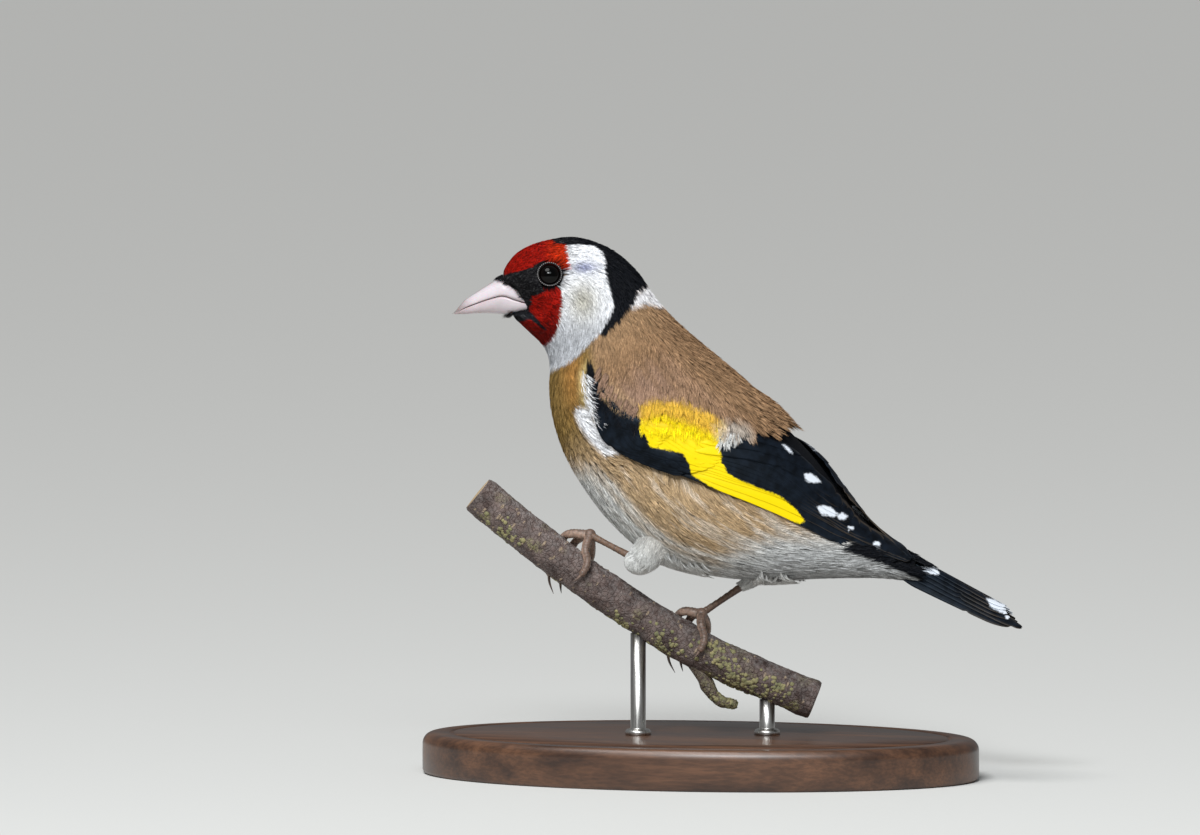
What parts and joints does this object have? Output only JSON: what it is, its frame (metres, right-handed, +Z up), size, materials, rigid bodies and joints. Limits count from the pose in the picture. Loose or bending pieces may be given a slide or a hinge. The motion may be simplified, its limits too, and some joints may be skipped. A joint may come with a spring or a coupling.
{
  "type": "european goldfinch display model on a perch",
  "caption": "Life-size European goldfinch gripping a cut length of branch, wings folded, held by a plain oval base with short rods.",
  "frame": {"origin": "centre of the flat underside of the stand's base", "axes": "+Z up; -X is the way the bird faces; -Y is the bird's left side, the one towards the picture's camera"},
  "size_m": [0.1191, 0.064, 0.105],
  "materials": {
    "plumage_head": "short silky feathers: red face, black lores and crown, white cheek",
    "plumage_body": "soft buff-brown body feathers, whiter on the belly, with fine barbs",
    "plumage_vent": "soft cream-grey feathers over the rump and vent",
    "wing_feathers": "black vanes with a blue sheen, a yellow band and white tips",
    "tail_feathers": "black vanes with small white marks at the tips",
    "bill_horn": "smooth pinkish ivory horn, darker at the tip",
    "eye": "wet, glossy, nearly black brown",
    "leg_scales": "brownish pink scaled skin with grey-brown claws",
    "bark": "purple-brown bark with pale pores and patches of yellow-green lichen",
    "stand_wood": "dark stained hardwood with a satin finish",
    "stand_metal": "plain satin metal rod"
  },
  "bodies": {
    "root": {"head": "plumage_head", "neck": "plumage_body", "torso": "plumage_body", "thigh_left": "plumage_body", "thigh_right": "plumage_body", "rump": "plumage_vent", "wing_left": "wing_feathers", "wing_right": "wing_feathers", "tail": "tail_feathers", "bill_upper": "bill_horn", "bill_lower": "bill_horn", "eye_left": "eye", "eye_right": "eye", "tarsus_left": "leg_scales", "tarsus_right": "leg_scales", "foot_left": "leg_scales", "foot_right": "leg_scales", "perch": "bark", "stand_base": "stand_wood", "stand_rod_front": "stand_metal", "stand_rod_back": "stand_metal"}
  },
  "joints": []
}
